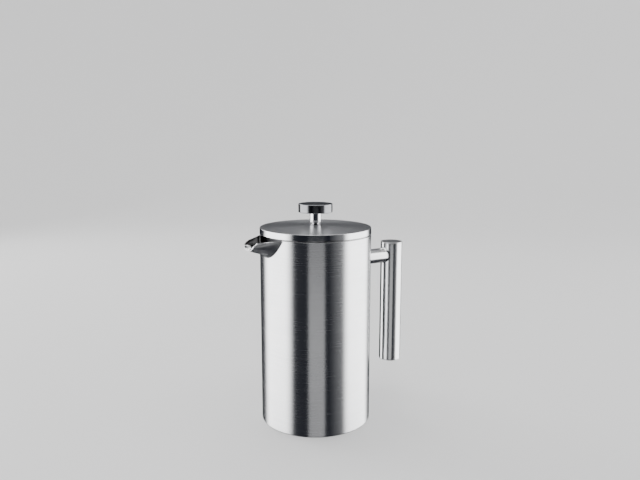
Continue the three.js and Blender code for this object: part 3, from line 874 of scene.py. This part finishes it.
class PRESS_OT_guide(bpy.types.Operator):
    """Guide bush through the lid, with an undercut collar, and the nut that holds it"""

    bl_idname = "press.guide"
    bl_label = "Guide bush and nut"

    def execute(self, context):
        s = sizes()
        bore = rod.r + s.rod_clearance
        tube = bush.r - 0.8 * MM
        seat = lid_cap.z1
        outline = rounded([
            (bore, bush.z0, 0.15 * MM), (tube, bush.z0, 0.3 * MM), (tube, seat, 0),
            (bush.r - 1.1 * MM, seat, 0), (bush.r, bush.z1 - 0.1 * MM, 0), (bush.r, bush.z1, 0),
            (bore, bush.z1, 0.15 * MM),
        ])
        build("guide_bush_collar", [turned_solid(outline, SMALL_ROUND)], "guide",
              ["guide_bush"], [steels()["polished"]])
        self.make_nut(tube)
        return {"FINISHED"}

    def make_nut(self, tube):
        """The nut: at an angle a its side lies at the flats' distance over the cosine of a's
        distance to the nearest flat. Its corners are turned down to a cylinder, and its lower
        end to a cone."""
        steps = 144
        a = np.linspace(0, 2 * math.pi, steps, endpoint=False)[:, None]
        half_x = (nut.x1 - nut.x0) / 2
        flat = min(half_x, nut.r)
        first = 0.0 if half_x < nut.r else math.pi / 6
        off = (a - first + math.pi / 6) % (math.pi / 3) - math.pi / 6
        side = np.minimum(flat / np.cos(off), flat * 1.13)
        chamfer = np.minimum(side, flat * 1.03)
        inner = tube + SEAM
        z0, z1 = nut.z0, nut.z1
        rows = [
            (inner + 0 * a, z0), (chamfer, z0), (side, z0 + 0.45 * MM), (side, z1 - 0.1 * MM),
            (side - 0.1 * MM, z1), (inner + 0 * a, z1),
        ]
        points = np.stack([
            np.concatenate([r * np.cos(a) for r, _ in rows], 1),
            np.concatenate([r * np.sin(a) for r, _ in rows], 1),
            np.concatenate([z + 0 * a for _, z in rows], 1),
        ], -1)
        surface = quads(points, wrap_rows=True, wrap_columns=True)
        build("bush_nut_hex", [surface], "guide", ["bush_nut"],
              [steels()["cap"]])


# ---- Plunger ----------------------------------------------------------------


class PRESS_OT_knob(bpy.types.Operator):
    """Knob: a satin disc on a polished neck"""

    bl_idname = "press.knob"
    bl_label = "Knob"

    def execute(self, context):
        s = sizes()
        bore = rod.r + SEAM
        hole = rod.z1 + 0.1 * MM
        disc = rounded([
            (bore, knob.z0, 0), (knob.r, knob.z0, s.knob_edge), (knob.r, knob.z1, s.knob_edge),
            (0, knob.z1, 0), (0, hole, 0), (bore, hole, 0),
        ])
        start = int(np.argmax(disc[:, 0] < 1e-9))
        disc = np.roll(disc, -start - 1, 0)
        # The upright side takes the darker copy, painted shade.
        build("knob_disc_satin", [turned_solid(disc, ROUND)], "plunger", ["knob_disc"],
              [steels()["knob"], steels()["knob side"]], top_or_side)
        top = knob.z0
        tube = rounded([
            (bore, neck.z0, 0), (neck.r - 0.8 * MM, neck.z0, 0), (neck.r, neck.z0 + MM, 0.3 * MM),
            (neck.r, top - 1.2 * MM, 0),
            (neck.r, top - 0.5 * MM, 0), (neck.r + 0.3 * MM, top, 0), (bore, top, 0),
        ])
        build("knob_neck_polished", [turned_solid(tube, SMALL_ROUND)], "plunger",
              ["knob_neck"], [steels()["polished"]])
        return {"FINISHED"}


class PRESS_OT_rod(bpy.types.Operator):
    """Plunger rod and the collar that stops it under the lid"""

    bl_idname = "press.rod"
    bl_label = "Plunger rod"

    def execute(self, context):
        bar = rounded([
            (0, rod.z0, 0), (rod.r, rod.z0, 0.4 * MM), (rod.r, rod.z1, 0.3 * MM), (0, rod.z1, 0),
        ])
        bar = np.roll(bar, 1, 0) if bar[0, 0] > 1e-9 else bar
        build("plunger_rod_bar", [turned_solid(bar, SMALL_ROUND)], "plunger", ["plunger_rod"],
              [steels()["polished"]])
        ring = rounded([
            (rod.r + SEAM, collar.z0, 0), (collar.r, collar.z0, 0.4 * MM),
            (collar.r, collar.z1, 0.7 * MM), (rod.r + SEAM, collar.z1, 0),
        ])
        build("rod_collar_ring", [turned_solid(ring, SMALL_ROUND)], "plunger", ["rod_collar"],
              [steels()["satin"]])
        return {"FINISHED"}


def holed_cells(inner_r, outer_r, count, hole_r, z0, z1):
    """A flat ring with a circle of round holes, top and bottom faces and the holes' walls.

    The ring is cut into equal cells. In a cell a point is a share of the way from the hole's
    edge to the cell's border, straight between a point at the same place round each.
    """
    arc_points, side_points = PLATE_ROUND // count, 6
    half = math.pi / count
    middle_r = (inner_r + outer_r) / 2
    u = np.linspace(-1, 1, arc_points + 1)[:-1]
    v = np.linspace(0, 1, side_points + 1)[:-1]
    border_r = np.concatenate([
        np.full_like(u, inner_r), inner_r + (outer_r - inner_r) * v,
        np.full_like(u, outer_r), outer_r - (outer_r - inner_r) * v,
    ])
    border_a = half * np.concatenate([u, np.ones_like(v), -u, -np.ones_like(v)])
    bx, by = border_r * np.cos(border_a), border_r * np.sin(border_a)
    way = np.arctan2(by, bx - middle_r)
    hx, hy = middle_r + hole_r * np.cos(way), hole_r * np.sin(way)
    share = np.array([0.0, 0.08, 0.4, 1.0])[:, None]
    px, py = hx + (bx - hx) * share, hy + (by - hy) * share
    surfaces = []
    for k in range(count):
        a = 2 * half * (k + 0.5)
        x = px * math.cos(a) - py * math.sin(a)
        y = px * math.sin(a) + py * math.cos(a)
        upper = np.stack([x, y, np.full_like(x, z1)], -1)
        lower = np.stack([x, y, np.full_like(x, z0)], -1)
        wall = np.stack([lower[0], upper[0]])
        surfaces += [quads(part, wrap_columns=True) for part in (upper, lower, wall)]
    return surfaces


def edge_wall(outline):
    """An open surface from a turned outline."""
    return quads(turned(np.array(outline, float), PLATE_ROUND), wrap_rows=True)


def flat_ring(inner_r, outer_r, z0, z1):
    """Top and bottom faces of a flat ring."""
    return [edge_wall([(inner_r, z), (outer_r, z)]) for z in (z0, z1)]


class PRESS_OT_filter(bpy.types.Operator):
    """Filter: hub, pierced cross plate, two woven screens and the spring plate"""

    bl_idname = "press.filter"
    bl_label = "Filter"

    def execute(self, context):
        s = sizes()
        bore = s.hub_tube + SEAM
        self.make_hub(s)
        self.make_cross_plate(bore, s.plate)
        self.make_screens(bore, s.cloth)
        self.make_spring_plate(bore)
        return {"FINISHED"}

    def make_hub(self, s):
        bore = rod.r + SEAM
        tube = s.hub_tube
        flange = 1.2 * MM
        outline = rounded([
            (bore, hub.z0, 0), (hub.r, hub.z0, 0.4 * MM), (hub.r, hub.z0 + flange, 0.3 * MM),
            (tube, hub.z0 + flange, 0.1 * MM), (tube, hub.z1, 0.3 * MM), (bore, hub.z1, 0),
        ])
        build("filter_hub_bush", [turned_solid(outline, SMALL_ROUND)], "plunger",
              ["filter_hub"], [steels()["satin"]])

    def make_cross_plate(self, bore, sheet):
        """Rings of cells, all with the same steps round, and a short upturned rim."""
        z0, z1 = cross_plate.z0, cross_plate.z0 + sheet
        rim = cross_plate.r - sheet
        hole_r = 5.2 * MM
        inner, between, outer = 9.5 * MM, 24 * MM, 39.5 * MM
        surfaces = flat_ring(bore, inner, z0, z1)
        surfaces += holed_cells(inner, between, 6, hole_r, z0, z1)
        surfaces += holed_cells(between, outer, 12, hole_r, z0, z1)
        surfaces += flat_ring(outer, rim, z0, z1)
        surfaces.append(edge_wall([(bore, z0), (bore, z1)]))
        chamfer = 0.3 * MM
        surfaces.append(edge_wall([
            (rim, z0), (cross_plate.r - chamfer, z0), (cross_plate.r, z0 + chamfer),
            (cross_plate.r, cross_plate.z1), (rim, cross_plate.z1), (rim, z1),
        ]))
        build("cross_plate_pierced", surfaces, "plunger", ["cross_plate"],
              [steels()["satin"]])

    def make_screens(self, bore, sheet):
        flat = rounded([
            (bore, coarse.z0, 0), (coarse.r, coarse.z0, 0.15 * MM),
            (coarse.r, coarse.z1, 0.15 * MM), (bore, coarse.z1, 0),
        ])
        build("coarse_screen_cloth", [turned_solid(flat)], "plunger", ["coarse_screen"],
              [steels()["coarse screen"]])
        lip = rounded([
            (bore, fine.z0, 0), (fine.r, fine.z0, 1.1 * MM), (fine.r, fine.z1, 0.15 * MM),
            (fine.r - sheet, fine.z1, 0.15 * MM), (fine.r - sheet, fine.z0 + sheet, 0.7 * MM),
            (bore, fine.z0 + sheet, 0),
        ])
        build("fine_screen_cloth", [turned_solid(lip)], "plunger", ["fine_screen"],
              [steels()["fine screen"]])

    def make_spring_plate(self, bore):
        z0, z1 = spring_plate.z0, spring_plate.z1
        hole_r = 2.3 * MM
        inner, outer = 20 * MM, 31 * MM
        swell = 0.12 * MM
        surfaces = flat_ring(bore, inner, z0, z1)
        surfaces += holed_cells(inner, outer, 8, hole_r, z0, z1)
        surfaces += flat_ring(outer, spring_plate.r, z0, z1)
        surfaces.append(edge_wall([(bore, z0), (bore, z1)]))
        surfaces.append(edge_wall([
            (spring_plate.r, z0), (spring_plate.r + swell, (z0 + z1) / 2), (spring_plate.r, z1),
        ]))
        build("spring_plate_disc", surfaces, "plunger", ["spring_plate"],
              [steels()["satin"]])


class PRESS_OT_spring(bpy.types.Operator):
    """Edge spring: a close coil bent into a ring round the filter"""

    bl_idname = "press.spring"
    bl_label = "Edge spring"

    def execute(self, context):
        """The coil: its centre line goes round the ring at the ring's radius plus the coil's
        radius times the cosine of 150 turns, and up and down by the sine; the wire is a circle
        square to that line."""
        turns, per_turn, sides = 150, 12, 6
        wire = sizes().wire / 2
        coil_r = coil.h / 2 - wire
        ring_r = coil.r - coil.h / 2
        z_axis = (coil.z0 + coil.z1) / 2
        u = np.linspace(0, 2 * math.pi, turns * per_turn, endpoint=False)
        r = ring_r + coil_r * np.cos(turns * u)
        line = np.stack([r * np.cos(u), r * np.sin(u), z_axis + coil_r * np.sin(turns * u)], -1)
        along = np.roll(line, -1, 0) - np.roll(line, 1, 0)
        along /= np.linalg.norm(along, axis=1)[:, None]
        centre = np.stack([ring_r * np.cos(u), ring_r * np.sin(u), np.full_like(u, z_axis)], -1)
        out = line - centre
        out -= (out * along).sum(1)[:, None] * along
        out /= np.linalg.norm(out, axis=1)[:, None]
        side = np.cross(along, out)
        v = np.linspace(0, 2 * math.pi, sides, endpoint=False)[None, :, None]
        points = line[:, None] + wire * (np.cos(v) * out[:, None] + np.sin(v) * side[:, None])
        surface = quads(points, wrap_rows=True, wrap_columns=True)
        build("edge_spring_coil", [surface], "plunger", ["edge_spring"],
              [steels()["polished"]])
        return {"FINISHED"}


# ---- Studio -----------------------------------------------------------------


def from_camera_side(x, y, z):
    """A point given to the right of, beyond and above the pot's foot as the camera sees it."""
    turn = studio().turn
    return Vector((
        x * math.cos(turn) + y * math.sin(turn), y * math.cos(turn) - x * math.sin(turn), z,
    ))


def area_light(name, width, height, power):
    """A soft rectangular light that the camera doesn't see, with its power a square metre."""
    data = bpy.data.lights.new(name, "AREA")
    data.shape = "RECTANGLE"
    data.size, data.size_y = width, height
    data.energy = power * width * height
    light = bpy.data.objects.new(name, data)
    bpy.context.scene.collection.objects.link(light)
    light.visible_camera = False
    return light


def panel(name, turn, spread, distance, low, high, power):
    """An upright area light that faces the pot's axis.

    turn is its middle's angle to the right of the camera, and spread its half angle, both in
    degrees.
    """
    light = area_light(name, 2 * distance * math.tan(math.radians(spread)), high - low, power)
    a = math.radians(turn)
    place = from_camera_side(distance * math.sin(a), -distance * math.cos(a), (low + high) / 2)
    aim = Vector((0, 0, place.z)) - place
    light.rotation_euler = aim.to_track_quat("-Z", "Y").to_euler()
    light.location = place


def stage_surface(name, surface, shader, inputs):
    """Makes a part of the stage from its vertices and faces, and the sockets of its finish."""
    points, faces = surface
    mesh = bpy.data.meshes.new(name)
    mesh.from_pydata(points.tolist(), [], faces.tolist())
    mesh.shade_smooth()
    mesh.materials.append(shader.finish(inputs))
    piece = bpy.data.objects.new(name, mesh)
    bpy.context.scene.collection.objects.link(piece)
    return piece


class PRESS_OT_studio(bpy.types.Operator):
    """Camera, pale floor that sweeps up all round, and soft panels"""

    bl_idname = "press.studio"
    bl_label = "Studio"

    def execute(self, context):
        self.make_camera()
        self.make_floor()
        self.make_lights()
        return {"FINISHED"}

    def make_camera(self):
        s = studio()
        data = bpy.data.cameras.new("camera")
        data.lens = s.lens
        data.sensor_width = 36.0
        data.clip_start = 0.01
        camera = bpy.data.objects.new("camera", data)
        bpy.context.scene.collection.objects.link(camera)
        place = from_camera_side(0, -s.distance, s.height)
        ahead = from_camera_side(
            math.sin(s.yaw) * math.cos(s.pitch), math.cos(s.yaw) * math.cos(s.pitch),
            -math.sin(s.pitch),
        )
        camera.location = place
        camera.rotation_euler = ahead.to_track_quat("-Z", "Y").to_euler()
        bpy.context.scene.camera = camera

    def make_floor(self):
        """A flat disc that turns up into a wall: the outline is level to the bend, a quarter
        circle, then upright, carried round the axis."""
        flat, bend, top = 1.3, 1.0, 3.0
        a = np.linspace(0, math.pi / 2, 25)
        outline = np.concatenate([
            [(0, 0), (0.4, 0), (0.9, 0)],
            np.stack([flat + bend * np.sin(a), bend * (1 - np.cos(a))], -1),
            [(flat + bend, top)],
        ])
        shader = Shader("pale floor")
        grain = shader.noise(shader.place(), 3.0, 2.0)
        tone = shader.mix(grain, rgba(studio().wall, 0.985), rgba(studio().wall, 1.0))
        floor = stage_surface(
            "floor", quads(turned(outline, SMALL_ROUND), wrap_rows=True), shader,
            {"Base Color": tone, "Roughness": 0.9},
        )
        floor.visible_glossy = False

    def make_lights(self):
        """Lights at the sides and overhead, panels behind, and a card in front, which the steel
        shows from below the floor's level, because the floor isn't seen in reflections."""
        self.make_light_screens()
        panel("front card", turn=2.2, spread=16.3, distance=1.45, low=-0.9, high=-0.05, power=2.2)
        panel("back panel", turn=180, spread=26, distance=1.45, low=0.4, high=1.5, power=0.45)
        panel("upper left panel", turn=-128, spread=15, distance=1.4, low=0.3, high=1.4, power=12)
        area_light("top panel", 3.2, 3.2, 8).location = (0, 0, 2.6)
        world = bpy.data.worlds.new("surround")
        world.use_nodes = True
        world.node_tree.nodes["Background"].inputs["Color"].default_value = rgba(studio().surround)
        bpy.context.scene.world = world

    def make_light_screens(self):
        """Two upright screens bent round the pot, with soft light on the left and the right.

        Each is an arc about the pot's axis. A light's strength is a smooth step of the cosine
        of the angle to its middle, so its upright edges fade. Only what it lights shows.
        """
        self.make_light_screen("left screen", -132, -44, ((-88, 32, 11, 1.0),))
        self.make_light_screen("right screen", 29, 156, ((98, 32, 10, 1.0), (92, 51, 12, 0.035)))

    def make_light_screen(self, name, first, last, lights):
        """One screen, from the first to the last angle. A light is its middle's angle, its half
        width and its fade in degrees, and its share of the soft light."""
        s = studio()
        steps = 24
        radius = 1.6
        a = np.radians(np.linspace(first, last, steps)) - math.pi / 2 - s.turn
        z = np.array([[1.5], [-0.9]])
        arc = np.stack([radius * np.cos(a) + 0 * z, radius * np.sin(a) + 0 * z, z + 0 * a], -1)
        shader = Shader(name)
        x, y, _ = shader.parts(shader.place())
        glow = 0.0
        for turn, half, fade, share in lights:
            middle = math.radians(turn) - math.pi / 2 - s.turn
            cosine = (x * math.cos(middle) + y * math.sin(middle)) / radius
            edge = (math.cos(math.radians(half + fade)), math.cos(math.radians(half - fade)))
            glow = cosine.smooth(*edge) * share + glow
        light = shader.mix(glow, rgba(s.surround), (s.soft_light,) * 3 + (1.0,))
        screen = stage_surface(name, quads(arc), shader, {
            "Base Color": (0, 0, 0, 1), "Emission Color": light, "Emission Strength": 1.0,
        })
        screen.visible_camera = False
        screen.visible_shadow = False
        screen.visible_diffuse = False


# ---- Add-on -----------------------------------------------------------------

STEPS = (
    PRESS_OT_studio, PRESS_OT_shell, PRESS_OT_vessel, PRESS_OT_base, PRESS_OT_spout,
    PRESS_OT_throat, PRESS_OT_handle, PRESS_OT_lid, PRESS_OT_guide, PRESS_OT_knob,
    PRESS_OT_rod, PRESS_OT_filter, PRESS_OT_spring,
)
GROUPS = (("press_sizes", PressSizes), ("press_finish", PressFinish), ("press_studio", PressStudio))


class PRESS_PT_panel(bpy.types.Panel):
    """Lists the settings and the pieces"""

    bl_idname = "PRESS_PT_panel"
    bl_label = "French press"
    bl_space_type = "VIEW_3D"
    bl_region_type = "UI"
    bl_category = "French press"

    def draw(self, context):
        for step in STEPS:
            self.layout.operator(step.bl_idname)
        for name, group in GROUPS:
            box = self.layout.box()
            for key in group.__annotations__:
                box.prop(getattr(context.scene, name), key)


def register():
    for name, group in GROUPS:
        bpy.utils.register_class(group)
        setattr(bpy.types.Scene, name, bpy.props.PointerProperty(type=group))
    for step in STEPS:
        bpy.utils.register_class(step)
    bpy.utils.register_class(PRESS_PT_panel)


def unregister():
    bpy.utils.unregister_class(PRESS_PT_panel)
    for step in reversed(STEPS):
        bpy.utils.unregister_class(step)
    for name, group in reversed(GROUPS):
        delattr(bpy.types.Scene, name)
        bpy.utils.unregister_class(group)


def main():
    register()
    for step in STEPS:
        category, name = step.bl_idname.split(".")
        getattr(getattr(bpy.ops, category), name)()
    bpy.context.view_layer.update()


if __name__ == "__main__":
    main()
